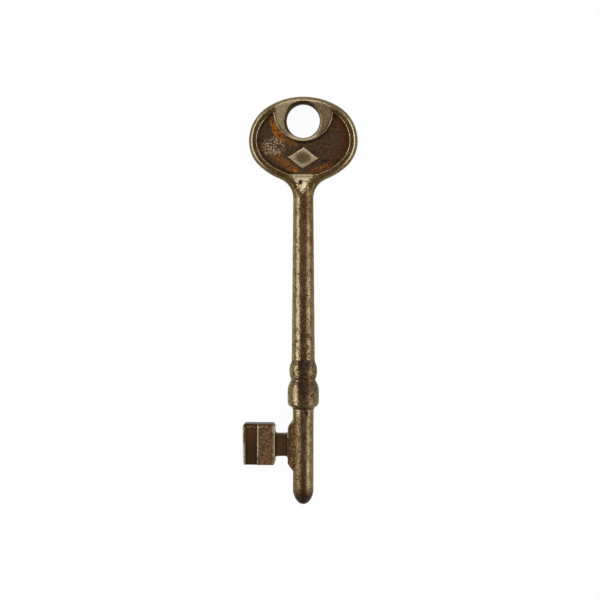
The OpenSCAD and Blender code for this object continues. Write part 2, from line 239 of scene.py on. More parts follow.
# %% Dents, swells and pits
random.seed(7)
APART = Vector((9, 4, 1))
FACET_PIT = (-0.5, 60.4, 1.5)
ROD_PIT = (0.62, 14.0, 2.1)
PITS = [(FACET_PIT, 0.45, 0.16), (ROD_PIT, 0.5, 0.2), ((-1.0, 13.2, 2.0), 0.3, 0.08)]
for turn in range(150):
    angle = random.uniform(0, math.tau)
    spot = (2.3 * math.cos(angle), random.uniform(-4, 57), 2.3 * math.sin(angle))
    PITS.append((spot, random.uniform(0.16, 0.34), random.uniform(0.02, 0.07)))


def weather(bm, swell, grain, along):
    bm.normal_update()
    place = np.array([v.co[:] for v in bm.verts])
    slow = np.array([0.5 + 0.5 * noise.noise(v.co * 0.45) for v in bm.verts])
    fast = np.array([0.5 + 0.5 * noise.noise(v.co * 1.9 + APART) for v in bm.verts])
    deep = swell * slow + grain * fast
    for at, size, depth in PITS:
        near = np.nonzero(np.abs(place[:, 1] - at[1]) < 1.4 * size)[0]
        far = np.linalg.norm(place[near] - np.array(at), axis=1) / size
        deep[near] += depth * np.clip(1.3 - far, 0, 1) ** 1.5
    for v, push in zip(bm.verts, deep):
        v.co -= Vector((v.normal.x, v.normal.y * along, v.normal.z)) * float(push)
    print(f"pushed in by {deep.min():.3f} to {deep.max():.3f} mm")


weather(bow_skin, 0.025, 0.02, 1.0)
weather(bit_skin, 0.025, 0.025, 1.0)
for skin in (stem_skin, upper_skin, lower_skin):
    weather(skin, 0.03, 0.03, 0.0)
print("pits:", len(PITS))

# %% [markdown]
# ## The bow's flush end
# The bow's end was pushed out past the seam, smoothed and dented like the rest. Now a plane
# cuts it off at the seam, and a bridge between the outer and the inner ring of the cut closes
# the flat face round the socket.

# %% Cut the bow flush at its seam
cut = bmesh.ops.bisect_plane(
    bow_skin, geom=whole(bow_skin), plane_co=(0, seam_y, 0), plane_no=(0, 1, 0), clear_inner=True,
)
ring = [e for e in cut["geom_cut"] if isinstance(e, bmesh.types.BMEdge)]
bmesh.ops.bridge_loops(bow_skin, edges=ring)
bmesh.ops.recalc_face_normals(bow_skin, faces=bow_skin.faces)
print(f"bow cut flush at {seam_y:.2f}, {open_edges(bow_skin)} open edges")

# %% [markdown]
# ## What each point knows about its surroundings
# Hands rub the ridges and rust keeps to the hollows, so the materials need to know which is
# which. Averaging every point with its neighbours, again and again, gives a blurred key; how
# far a point stands outside the blurred one tells how sharply it curves. `edge` holds this at
# about a quarter of a millimetre, and fades out at the seams, where an edge is no real one.
# `level` tells how flat a place lies on the table.

# %% Measure how sharply a mesh curves
shoulder_y = max(v.co.y for v in upper_skin.verts)
REACH = 0.25


def values_of(items, name, wide, kind=float):
    values = np.empty(len(items) * wide, dtype=kind)
    items.foreach_get(name, values)
    return values.reshape(-1, wide)


def survey(mesh, spacing):
    count = len(mesh.vertices)
    place = values_of(mesh.vertices, "co", 3) * MM
    normal = values_of(mesh.vertices, "normal", 3)
    ends = np.sort(values_of(mesh.edges, "vertices", 2, np.int64), axis=1)
    here = np.r_[ends[:, 0], ends[:, 1]]
    there = np.r_[ends[:, 1], ends[:, 0]]
    share = 1.0 / (1 + np.bincount(here, minlength=count))

    def blur(values, rounds):
        for turn in range(rounds):
            total = [np.bincount(here, part[there], minlength=count) for part in values.T]
            values = (values + np.stack(total, axis=1)) * share[:, None]
        return values

    rounds = max(2, round(REACH * REACH / (0.4 * spacing * spacing)))
    edge = ((place - blur(place, rounds)) * normal).sum(axis=1) * 5 / (rounds * spacing * spacing)
    edge = blur(edge[:, None], 5)[:, 0] * 1.15
    for joint_y in (seam_y, shoulder_y):
        edge *= np.clip((np.abs(place[:, 1] - joint_y) - 0.3) / 0.5, 0, 1)
    level = np.abs(blur(normal, round(0.3 / spacing))[:, 2])
    for name, values in (("edge", edge), ("level", level)):
        kept = mesh.attributes.new(name, "FLOAT", "POINT")
        kept.data.foreach_set("value", values.astype(np.float32))
    print(f"  {mesh.name}: edge {np.percentile(edge, 2):.2f} to {np.percentile(edge, 98):.2f}")


# %% [markdown]
# ## From skins to pieces
# Each skin becomes an object in metres that rides on the key's one body and stands in for its
# solid. Faces shade smoothly into each other, but an edge of more than 50 degrees is kept
# sharp, so that the flat ends of the turned pieces don't shade into their sides.

# %% Make the pieces
def piece(name, bm, node, spacing):
    for edge in bm.edges:
        edge.smooth = edge.calc_face_angle(0) < math.radians(50)
    for face in bm.faces:
        face.smooth = True
    bmesh.ops.scale(bm, vec=(1 / MM, 1 / MM, 1 / MM), verts=bm.verts)
    mesh = bpy.data.meshes.new(name)
    bm.to_mesh(mesh)
    bm.free()
    survey(mesh, spacing * fine)
    made = bpy.data.objects.new(name, mesh)
    bpy.context.scene.collection.objects.link(made)
    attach(made, "root")
    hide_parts(node)
    return made


bow = piece("bow_casting", bow_skin, "bow", BOW_VOXEL)
stem = piece("stem_turning", stem_skin, "stem", 0.15)
upper_collar = piece("upper_collar_bead", upper_skin, "upper_collar", 0.13)
lower_collar = piece("lower_collar_barrel", lower_skin, "lower_collar", 0.13)
bit = piece("bit_flag", bit_skin, "bit", BIT_VOXEL)

# %% [markdown]
# ## A short way to write shader nodes
# A material is a sum over many masks. Written node by node it would hide its own meaning, so
# `Val` wraps one socket and lets it be added and multiplied like a number, and `Shader.node`
# makes any other node: the type, its settings, and then its inputs. A shader knows the
# object's own place in mm, and `tint` turns a colour as a screen gives it, from 0 to 255,
# into the linear numbers that a shader wants.

# %% Values that add and multiply
class Val:
    def __init__(self, shader, socket):
        self.shader = shader
        self.socket = socket

    def math(self, operation, *others):
        return self.shader.node("ShaderNodeMath", {"operation": operation}, (self, *others))

    def __add__(self, other):
        return self.math("ADD", other)

    def __sub__(self, other):
        return self.math("SUBTRACT", other)

    def __rsub__(self, other):
        return (self * -1.0).math("ADD", other)

    def __mul__(self, other):
        return self.math("MULTIPLY", other)

    __radd__ = __add__
    __rmul__ = __mul__

    def size(self):
        return self.math("ABSOLUTE")

    def most(self, other):
        return self.math("MAXIMUM", other)

    def least(self, other):
        return self.math("MINIMUM", other)

    def step(self, low, high):
        made = {"interpolation_type": "SMOOTHSTEP"}
        return self.shader.node("ShaderNodeMapRange", made, {0: self, 1: low, 2: high})


# %% Shaders and colours
class Shader:
    def __init__(self, name):
        self.material = bpy.data.materials.new(name)
        self.material.use_nodes = True
        self.tree = self.material.node_tree
        self.surface = self.tree.nodes["Principled BSDF"]
        place = self.node("ShaderNodeTexCoord", out="Object")
        scale = {0: place, "Scale": MM}
        self.place = self.node("ShaderNodeVectorMath", {"operation": "SCALE"}, scale)
        self.x = self.node("ShaderNodeSeparateXYZ", inputs=[self.place], out=0)
        self.y = self.node("ShaderNodeSeparateXYZ", inputs=[self.place], out=1)
        self.z = self.node("ShaderNodeSeparateXYZ", inputs=[self.place], out=2)

    def feed(self, socket, value):
        if isinstance(value, Val):
            self.tree.links.new(value.socket, socket)
        else:
            socket.default_value = value

    def node(self, kind, settings=None, inputs=(), out=0):
        made = self.tree.nodes.new(kind)
        for key, value in (settings or {}).items():
            setattr(made, key, value)
        pairs = inputs.items() if isinstance(inputs, dict) else enumerate(inputs)
        for key, value in pairs:
            self.feed(made.inputs[key], value)
        return Val(self, made.outputs[out])

    def noise(self, scale, detail=3.0, rough=0.6):
        inputs = {"Vector": self.place, "Scale": scale, "Detail": detail, "Roughness": rough}
        return self.node("ShaderNodeTexNoise", inputs=inputs)

    def cells(self, scale):
        return self.node("ShaderNodeTexVoronoi", inputs={"Vector": self.place, "Scale": scale})

    def known(self, name):
        return self.node("ShaderNodeAttribute", {"attribute_name": name}, out="Fac")

    def blend(self, factor, under, over):
        inputs = {0: factor, 6: under, 7: over}
        return self.node("ShaderNodeMix", {"data_type": "RGBA"}, inputs, out=2)


def tint(red, green, blue):
    def linear(value):
        value /= 255
        return value / 12.92 if value <= 0.04045 else ((value + 0.055) / 1.055) ** 2.4

    return (linear(red), linear(green), linear(blue), 1.0)


print("a middle grey is", [round(part, 3) for part in tint(128, 128, 128)])

# %% [markdown]
# ## Old iron
# One recipe makes all the materials, so that the key stays one casting. From the inside out:
# a brown patina, darkened metal with a golden sheen where it is rubbed, pale metal on the
# sharpest ridges, satin metal on worn flats, black oxide in pits and hollows, then a matte
# crust over the metal, and flecks on top of the crust. The same black is also painted as
# painted shade wherever a piece asks for it through its `dark` mask, and the same satin as a
# painted highlight where a piece paints a place as lit. The crust is red or brown rust in most
# places; on the eye's lower lip it is a cream colour that is a painted highlight, and on the
# pilot and the lug a tan that is partly one. The pale flecks are partly painted glints.
#
# Layers of real dirt can't be modelled at this size, so each one is a mask that blends a
# colour in and changes how metallic and rough the surface is. A piece gives its own masks in
# `zones`; what it doesn't give stays as the recipe has it.

# %% The recipe
OXIDE_AND_PAINTED_SHADE_BLACK = tint(26, 19, 11)
PALE_METAL = tint(154, 141, 110)
IRON_SPECULAR = 0.14
IRON_SPECULAR_TINT = (0.85, 0.78, 0.65, 1.0)


def mottled(s, mottle, dark, light):
    return s.blend(mottle.step(0.35, 0.65), dark, light)


def old_iron(name, worn, zones):
    s = Shader(name)
    edge = s.known("edge")
    mottle = s.noise(0.6, 4.0, 0.65)
    cloud = s.noise(1.9, 3.0)
    grain = s.noise(3.8, 4.0)
    dust = s.noise(12.0, 2.0)
    pits = s.cells(1.5).step(0.34, 0.16) * s.noise(1.1, 2.0).step(0.5, 0.62)
    specks = s.cells(3.4).step(0.36, 0.2) * s.noise(0.9, 3.0).step(0.42, 0.6)
    zone = {"shine": 0.0, "satin": 0.0, "dark": 0.0, "coarse": 0.0, "metal": 0.6, "rough": 0.0}
    zone.update({"crust": 0.0, "fleck": 0.0, "fleck_color": PALE_METAL})
    zone.update(zones(s, mottle, cloud, grain))

    shine = worn + 0.8 * (mottle - 0.5) + 1.8 * (cloud - 0.5)
    shine = shine + 1.6 * (grain - 0.5) + 0.5 * (dust - 0.5)
    shine = shine + zone["shine"] + 0.5 * edge.step(0.5, 2.0) - 0.5 * edge.step(-0.3, -1.6)
    shine = shine - 0.9 * pits - 0.45 * specks
    bare = shine.step(0.0, 0.7)
    pale = shine.step(0.65, 1.25)
    # deep holds real oxide in pits and hollows, and also the painted shade that a piece asks for
    # through its dark mask.
    deep = (edge.step(-0.5, -2.2) + 0.8 * pits + zone["dark"]).least(1.0).most(0.0)
    crust = zone["crust"] * (1 - 0.6 * pale)
    satin = zone["satin"] * (1 - 0.7 * deep)

    metal_color = mottled(s, mottle, tint(108, 92, 60), tint(124, 108, 77))
    satin_color = s.blend(shine.step(0.0, 0.9), tint(124, 108, 76), tint(190, 176, 140))
    color = s.blend(bare, zone["patina"], metal_color)
    color = s.blend(pale, color, PALE_METAL)
    color = s.blend(satin, color, satin_color)
    color = s.blend(deep * 0.85, color, OXIDE_AND_PAINTED_SHADE_BLACK)
    color = s.blend(crust, color, zone["crust_color"])
    color = s.blend(zone["fleck"], color, zone["fleck_color"])
    metal = (zone["metal"] + (0.95 - zone["metal"]) * bare) * (1 - crust) * (1 - 0.6 * deep)
    rough = 0.36 - 0.2 * bare + 0.24 * satin + 0.3 * crust + 0.1 * (dust - 0.5) + zone["rough"]
    s.feed(s.surface.inputs["Base Color"], color)
    s.feed(s.surface.inputs["Metallic"], metal)
    s.feed(s.surface.inputs["Roughness"], rough)
    s.feed(s.surface.inputs["Specular IOR Level"], IRON_SPECULAR)
    s.feed(s.surface.inputs["Specular Tint"], IRON_SPECULAR_TINT)

    height = 0.01 * grain + 0.001 * dust + 0.035 * cloud - 0.05 * pits - 0.015 * specks
    height = height + zone["coarse"] * (0.04 * grain + 0.004 * dust + 0.03 * cloud)
    height = height + 0.012 * crust * dust + 0.02 * zone["fleck"]
    relief = {"Strength": 1.0, "Distance": 1 / MM, "Height": height}
    s.feed(s.surface.inputs["Normal"], s.node("ShaderNodeBump", inputs=relief))
    print(f"{name}: {len(s.tree.nodes)} nodes")
    return s.material


# %% [markdown]
# ## Where each piece is worn and where it rusts
# Large patches of wear and rust have their own places on the key. They could be painted on a
# picture, but a picture is tied to one unwrapping, so the masks are written in the key's own
# millimetres instead. `blob` is a soft ellipse with a ragged edge, `band` a strip between two
# values, and `squared` the distance from a point of the face, squared.

# %% Masks that the pieces share
def squared(s, x, y):
    return (s.x - x) * (s.x - x) + (s.y - y) * (s.y - y)


def blob(s, x, y, wide, high, turn=0.0, ragged=1.0):
    cosine = math.cos(math.radians(turn))
    sine = math.sin(math.radians(turn))
    along = ((s.x - x) * cosine + (s.y - y) * sine) * (1 / wide)
    across = ((s.y - y) * cosine - (s.x - x) * sine) * (1 / high)
    frayed = ragged * 2 * (s.noise(1.3, 5.0, 0.75) - 0.5)
    return (1 - along * along - across * across + frayed).step(-0.25, 0.9)


def band(value, low, high, soft):
    return value.step(low - soft, low + soft) * value.step(high + soft, high - soft)


# %% [markdown]
# ## The bow: which form is where
# The bow is one mesh, so its materials have to find its forms again by their places: the sunk
# field inside the rim, the wall of the eye and the boss round it, the lozenge, the sill and
# the facet on the neck. The facet's border is made ragged, because a worn edge never runs
# dead straight.

# %% The bow's forms as masks
EYE_Y = 72.56
BOSS_Y = 74.4
LOZENGE_Y = 65.24
FIELD_Y = 68.9


def bow_forms(s, cloud, grain):
    face = s.z.size()
    level = s.known("level")
    across = s.x * (1 / 9.35)
    up = (s.y - FIELD_Y) * (1 / 7.75)
    out = across * across + up * up
    sill = band(s.y, 61.15, 62.0, 0.12) * (s.x + 0.1).size().step(2.1, 1.7)
    from_boss = squared(s, 0.0, BOSS_Y).math("SQRT")
    from_eye = squared(s, 0.0, EYE_Y).math("SQRT")
    arch = from_eye.step(4.12, 3.9) * s.y.step(74.6, 76.0) * s.x.step(3.0, 1.0)
    wall = from_eye.step(3.8, 3.62).most(arch)
    boss = from_boss.step(6.1, 5.8) * face.step(1.25, 1.45) * (1 - wall)
    wings = boss * from_boss.step(5.9, 5.2) * from_eye.step(3.78, 3.95) * s.y.step(64.0, 73.0)
    shoulder = band(level, 0.66, 0.9, 0.08) * out.step(1.08, 1.2)
    lozenge = s.x.size() * (1 / 3.5) + (s.y - LOZENGE_Y).size() * (1 / 2.55)
    diamond = lozenge.step(1.04, 0.94) * s.z.step(1.0, 1.2)
    middle = s.x * s.x + 1.8 * (s.y - LOZENGE_Y) * (s.y - LOZENGE_Y)
    slope = (s.x + 0.2).size() - (s.y - 58.2) * 0.54 - 2.2 * (cloud - 0.5) - 1.0 * (grain - 0.5)
    return SimpleNamespace(
        out=out,
        sill=sill,
        sunk=face.step(1.4, 1.15) * out.step(1.06, 0.94) * (1 - sill),
        wall=wall,
        # The upper wall of the eye, turned away from the lamp at the bow's end, is painted black
        # there as painted shade.
        painted_shade_side=(s.y - EYE_Y - 0.8 * s.x).step(-2.0, 2.0),
        wings=wings * (1 - 0.4 * s.x.step(-1.0, 3.0)),
        # The lower lip of the eye and boss, painted cream and satin as a painted highlight for the
        # light from the bow's end.
        painted_lit_lip=(boss + wall).least(1.0) * s.y.step(70.6, 69.0) * from_boss.step(5.9, 5.6),
        shoulder=shoulder * s.y.step(77.0, 71.0) * s.y.step(61.5, 64.0),
        # The steep outer slopes of the rim, painted darker as painted shade for the dark reflection
        # they show.
        steep_painted_shade=level.step(0.5, 0.3) * out.step(1.08, 1.2),
        diamond=diamond,
        diamond_rim=diamond * lozenge.step(0.82, 0.94),
        diamond_middle=middle.step(3.4, 0.6),
        facet=band(s.y, 58.1, 61.9, 0.15) * slope.step(0.35, -0.2),
        pit=squared(s, *FACET_PIT[:2]).step(0.34, 0.08) * s.z.step(0.5, 0.8),
        top=s.y.step(75.6, 76.4) * s.x.size().step(4.5, 2.5) * face.step(1.3, 1.5),
    )


# %% [markdown]
# ## The bow: its rust
# Rust keeps to the sunk field, where no hand reaches: orange patches, most of them on the left,
# each with a strength, a middle, two half widths and a turn; dark red on the right; thin brown
# between them; and a pinkish blush at the far left. A dark mark by the lozenge is a painted
# shadow, the shade of a small dent, and is kept free of rust.
# The lower lip of the eye carries a cream colour, a painted highlight for the light from the
# bow's end that falls on it.

# %% The crust on the bow
ORANGE_PATCHES = (
    (1.0, -5.2, 70.9, 1.3, 3.2, 24),
    (0.6, -3.7, 64.3, 4.2, 1.2, -32),
    (0.6, -3.0, 68.8, 2.6, 0.9, -30),
    (0.5, 3.4, 62.9, 3.0, 1.1, 20),
)


def bow_crust(s, cloud, grain, form):
    blush = 0.7 * blob(s, -7.6, 67.4, 1.0, 0.9) * form.sunk
    spot = blob(s, -1.5, 62.7, 0.6, 0.5, 0, 0.4) * form.sunk
    orange = 0.8 * spot
    for strength, x, y, wide, high, turn in ORANGE_PATCHES:
        orange = orange.most(strength * blob(s, x, y, wide, high, turn))
    orange = orange * form.sunk
    red = form.out.step(0.25, 0.8) * s.x.step(0.5, 5.5) * form.sunk * cloud.step(0.3, 0.56)
    brown = form.sunk * s.noise(0.7, 5.0, 0.7).step(0.42, 0.62) * (1 - red)
    # A dark mark by the lozenge: a painted shadow of a dent, kept free of rust.
    painted_dent_shadow = blob(s, 4.3, 64.7, 1.2, 0.35, 8, 0.3) * form.sunk

    orange_color = s.blend(cloud.step(0.34, 0.54), tint(62, 34, 8), tint(140, 80, 10))
    bright = grain.step(0.54, 0.66).most(0.6 * spot)
    orange_color = s.blend(bright, orange_color, tint(190, 114, 36))
    red_color = s.blend(cloud.step(0.42, 0.62), tint(46, 24, 8), tint(78, 37, 12))
    brown_color = s.blend(grain.step(0.4, 0.6), tint(66, 42, 16), tint(92, 60, 28))
    blush_color = s.blend(grain.step(0.42, 0.58), tint(60, 36, 22), tint(132, 86, 58))
    color = s.blend(red, s.blend(blush, brown_color, blush_color), red_color)
    color = s.blend(orange, color, orange_color)
    return SimpleNamespace(
        blush=blush,
        painted_dent_shadow=painted_dent_shadow,
        mask=orange.most(0.9 * red).most(0.4 * brown).most(blush) * (1 - painted_dent_shadow),
        # The cream colour on the eye's lower lip is a painted highlight.
        color=s.blend(form.painted_lit_lip, color, tint(208, 196, 166)),
    )


# %% [markdown]
# ## The bow: its finish
# The bow shows every layer. Its rim, the boss's wings, the sill and the lozenge's border are
# rubbed to a satin shine. The upper wall of the eye is painted black as painted shade, and its
# lower wall and lip are painted bright and satin as a painted highlight, where the light from
# the bow's end falls on them. The steep outer slopes of the rim are painted darker as painted
# shade. The field is coarse and dull, and a patch at the left of it is flecked with pale grit,
# whose flecks are partly painted glints.

# %% The bow
def bow_zones(s, mottle, cloud, grain):
    form = bow_forms(s, cloud, grain)
    crust = bow_crust(s, cloud, grain, form)
    sunk = form.sunk
    facet = form.facet
    wall = form.wall
    # The eye's lower wall is painted bright satin as a painted highlight, and its upper wall black
    # as painted shade.
    painted_lit_wall = wall * (1 - form.painted_shade_side)
    low_rim = s.y.step(66.0, 61.5) * (1 - facet) * (1 - sunk)
    streak = blob(s, -0.95, 59.3, 0.5, 1.3, 0, 0.3) * (1 - facet) * s.z.step(0.3, 0.6)
    gritty = blob(s, -5.9, 67.5, 2.5, 2.0) * sunk
    # Pale flecks on the stipple patch: partly grit and partly painted glints on the tops of the
    # stipple.
    grit_and_glints = s.noise(3.4, 2.0, 0.7).step(0.54, 0.6).most(s.cells(2.4).step(0.42, 0.26))
    fleck = gritty * grit_and_glints * cloud.step(0.36, 0.5)
    ground = s.blend(s.x.step(-4.0, 2.0), tint(46, 40, 26), tint(50, 39, 30))
    ground = s.blend(grain.step(0.44, 0.62), ground, tint(80, 62, 42))
    rim_patina = mottled(s, mottle, tint(80, 58, 30), tint(104, 82, 46))

    shine = 0.5 * facet + form.diamond * (0.8 - 0.75 * form.diamond_middle) - 0.95 * sunk
    shine = shine - 0.2 * low_rim + 0.4 * form.top + 0.45 * form.shoulder + 0.25 * form.wings
    shine = shine + 0.7 * form.painted_lit_lip + 0.4 * painted_lit_wall + 0.9 * form.sill
    shine = shine + 0.3 * form.diamond_rim - 0.6 * wall * form.painted_shade_side - 0.5 * streak
    satin = (0.85 * form.wings).most(0.6 * facet).most(0.6 * form.top)
    satin = satin.most(form.diamond * (1 - 0.7 * form.diamond_middle))
    satin = satin.most(0.95 * form.painted_lit_lip).most(0.7 * painted_lit_wall)
    satin = satin.most(0.9 * form.sill).most(0.9 * form.shoulder)
    dark = 0.9 * form.pit - 0.8 * facet * (1 - form.pit) + 0.9 * crust.painted_dent_shadow
    # Part of this darkening is painted shade on the rim's steep slopes.
    dark = dark + 0.3 * sunk * grain.step(0.5, 0.36) + 0.4 * form.steep_painted_shade
    return {
        "shine": shine,
        "satin": satin * (1 - wall * form.painted_shade_side),
        "dark": dark + 0.9 * wall * form.painted_shade_side - form.sill,
        "rough": 0.3 * form.sill,
        "coarse": 0.7 * sunk + gritty,
        "metal": 0.6 - 0.35 * sunk,
        "patina": s.blend(sunk, rim_patina, ground),
        "crust": crust.mask.most(0.8 * streak).most(0.65 * form.painted_lit_lip).least(1.0),
        "crust_color": crust.color,
        "fleck": 0.95 * fleck * (1 - 0.5 * crust.blush),
        "fleck_color": tint(198, 172, 136),
    }


# %% [markdown]
# ## The stem's finish
# The shank has been turned between fingers for years, so it is the smoothest part. Towards
# the bow a red-brown line of rust runs down the middle of its front, and a few brown spots sit
# lower down. The middle of the front is also painted darker towards the bow and on the pilot,
# as painted shade for the dark reflection of the dim room above. The pilot turned in the lock
# instead, and the left half of its front is a matte speckled tan, partly crust and partly a
# painted highlight for the light on that side. Its tip is painted nearly black as painted
# shade, on the end that no lamp faces.

# %% The stem
BROWN_SPOTS = (
    (0.9, 29.9, 0.5),
    (0.8, 27.5, 0.5),
    (-1.45, 28.6, 0.4),
    (-1.1, 31.0, 0.3),
    (-1.6, 25.4, 0.3),
)


def rod_patina(s, mottle):
    return mottled(s, mottle, tint(66, 42, 24), tint(88, 64, 40))


def stem_zones(s, mottle, cloud, grain):
    right = s.x.step(-0.3, 0.9)
    low = s.y.step(15.0, 12.0)
    neck = s.y.step(34.0, 54.0)
    # The tip is painted nearly black as painted shade, on the end that no lamp faces.
    painted_dark_tip = s.y.step(-0.8, -3.4)
    # The middle of the front: painted darker as painted shade for the dim room's dark reflection,
    # and carrying the red-brown rust line towards the bow.
    middle = s.x.size().step(1.0, 0.4) * s.z.step(0.0, 1.0)
    # The left half of the pilot's front: a speckled tan crust that is partly a painted highlight
    # for the light on that side.
    painted_lit_plateau = low * s.x.step(-0.1, -0.5) * s.z.step(0.3, 0.8)
    pit = squared(s, *ROD_PIT[:2]).step(0.4, 0.1) * s.z.step(1.0, 1.5)
    shine = 0.28 - 0.2 * right * (1 - low) - 0.2 * (1 - right) * low - 0.3 * neck * middle
    shine = shine - 0.9 * painted_dark_tip - 0.12 * low - 0.15 * neck * right
    spots = cloud.step(0.54, 0.66) * (0.3 + 0.3 * neck + 0.25 * right * (1 - low))
    spots = spots.most(0.3 * right * low * cloud.step(0.4, 0.6))
    for x, y, size in BROWN_SPOTS:
        spots = spots.most(0.8 * blob(s, x, y, size, 1.6 * size, 30))
    speckle = (0.5 * grain + 0.5 * cloud).step(0.44, 0.57)
    tan_color = s.blend(speckle, tint(58, 42, 24), tint(140, 114, 76))
    red_color = s.blend(grain.step(0.4, 0.6), tint(52, 26, 14), tint(88, 48, 28))
    brown_color = s.blend(grain.step(0.4, 0.6), tint(58, 38, 20), tint(98, 64, 36))
    return {
        "shine": shine,
        "dark": 0.9 * pit + 0.9 * painted_dark_tip + 0.35 * middle * low + 0.2 * middle * neck,
        "coarse": 0.15 + 0.15 * low,
        "patina": rod_patina(s, mottle),
        "crust": spots.most(0.45 * neck * middle).most(0.42 * painted_lit_plateau * (1 - painted_dark_tip)),
        "crust_color": s.blend(painted_lit_plateau, s.blend(neck, brown_color, red_color), tan_color),
    }


# %% [markdown]
# ## The collars' finish
# The collars are darker than the shank, because dirt stays between their beads. The groove
# where they meet is dull, and brown rust has taken the right side. The middle of the front is
# painted dark as painted shade for the dark reflection of the room above, darkest on the
# crowns, which are also duller all round. Both collars share one recipe, because its bands
# are written along the stem's axis.

# %% The collars
def collar_zones(s, mottle, cloud, grain):
    right = s.x.step(-0.8, 1.2)
    groove = band(s.y, 20.2, 21.4, 0.4)
    crowns = band(s.y, 18.0, 20.4, 0.5) + band(s.y, 22.8, 24.8, 0.4)
    # The middle of the front is painted dark as painted shade, darkest on the crowns.
    middle = band(s.x, -0.9, 1.2, 0.4) * s.z.step(0.0, 1.0)
    shine = 0.16 - 0.3 * right - 0.3 * groove - 0.7 * crowns * middle - 0.1 * crowns
    return {
        "shine": shine - 0.2 * middle,
        "dark": 0.4 * crowns * middle + 0.4 * middle,
        "rough": 0.02 + 0.06 * crowns,
        "coarse": 0.25,
        "metal": 0.6 - 0.3 * crowns,
        "patina": mottled(s, mottle, tint(50, 36, 26), tint(66, 48, 32)),
        "crust": 0.5 * right * cloud.step(0.45, 0.62),
        "crust_color": s.blend(grain.step(0.4, 0.6), tint(54, 34, 18), tint(118, 82, 44)),
    }


# %% [markdown]
# ## The bit: which form is where
# From its free end inwards the bit's front has a land, the ward channel, a ridge, the shallow
# panel and a lip; then come the thin web, the lug and the slice of rod. All of them run along
# Y, so that their masks are mostly strips across X. `top` is the strip below the block's
# upper edge, and the next mask is that edge itself, painted dark as painted shade for the dark
# reflection in its rounded edge.

# %% The bit's forms as masks
CHANNEL = (-11.7, -9.35)
RIDGE = (-9.35, -9.0)
PANEL = (-8.95, -6.2)
LIP = (-6.2, -5.7)
WEB = (-5.9, -2.7)


def bit_forms(s):
    front = s.z.step(0.6, 0.9)
    face = s.z.size()
    on_block = s.x.step(-5.4, -5.8)
    return SimpleNamespace(
        land=s.x.step(-11.55, -11.75) * front,
        channel=band(s.x, *CHANNEL, 0.08) * front,
        ridge=band(s.x, *RIDGE, 0.08) * front,
        panel=band(s.x, *PANEL, 0.1) * front,
        lip=band(s.x, *LIP, 0.1) * front,
        top=band(s.y, 10.75, 11.15, 0.08) * front * on_block,
        # The block's upper edge, painted dark as painted shade for the dark reflection in its
        # rounded edge.
        outline=s.y.step(11.2, 11.35) * on_block,
        web=band(s.x, *WEB, 0.25) * face.step(1.3, 1.1),
        lug=s.x.step(-3.6, -3.3) * face.step(1.1, 1.3),
        lug_edge=band(s.x, -3.3, -3.0, 0.08) * s.y.step(8.6, 9.6),
        rod=s.x.step(-2.7, -2.1),
    )


# %% [markdown]
# ## The bit's finish
# The bit is the rustiest part, because no hand rubs it. Red-brown crust lies in the panel,
# warmest beside the lip, and thinner in the channel and on the web. Where the lug runs into
# the rod it fades into the pilot's speckled tan, which is partly crust and partly a painted
# highlight for the light on the lug. The block's upper edge is painted dark as painted shade.
# Only edges glint, and noise breaks most of the glints up, because a worn edge is never bright
# along its whole length.

# %% The bit's colours
def bit_crust_color(s, form, cloud, grain, patches, fade):
    warm = (patches + 0.14 * s.x.step(-8.5, -6.4) - 0.52).step(0.0, 0.14) * form.panel
    speckle = (0.6 * grain + 0.4 * cloud).step(0.44, 0.56)
    rest = s.blend(grain.step(0.4, 0.6), tint(64, 36, 20), tint(88, 56, 32))
    color = s.blend(speckle, tint(46, 32, 20), tint(124, 98, 72))
    color = s.blend(warm, color, s.blend(speckle, tint(62, 36, 17), tint(124, 80, 48)))
    color = s.blend(form.panel, rest, color)
    return s.blend(fade, color, s.blend(speckle, tint(54, 38, 20), tint(140, 112, 72)))


def bit_patina(s, form, mottle, cloud, patches):
    web_color = s.blend(patches.step(0.42, 0.58), tint(60, 52, 32), tint(70, 48, 26))
    ground = s.blend(s.y.step(5.0, 10.0), tint(52, 44, 26), tint(62, 43, 26))
    ground = s.blend(cloud.step(0.4, 0.6) * 0.5, ground, tint(44, 36, 20))
    ground = s.blend(form.panel, ground, tint(76, 58, 38))
    ground = s.blend(form.web, ground, web_color)
    ground = s.blend(form.lug, ground, tint(68, 50, 30))
    return s.blend(form.rod, ground, rod_patina(s, mottle))


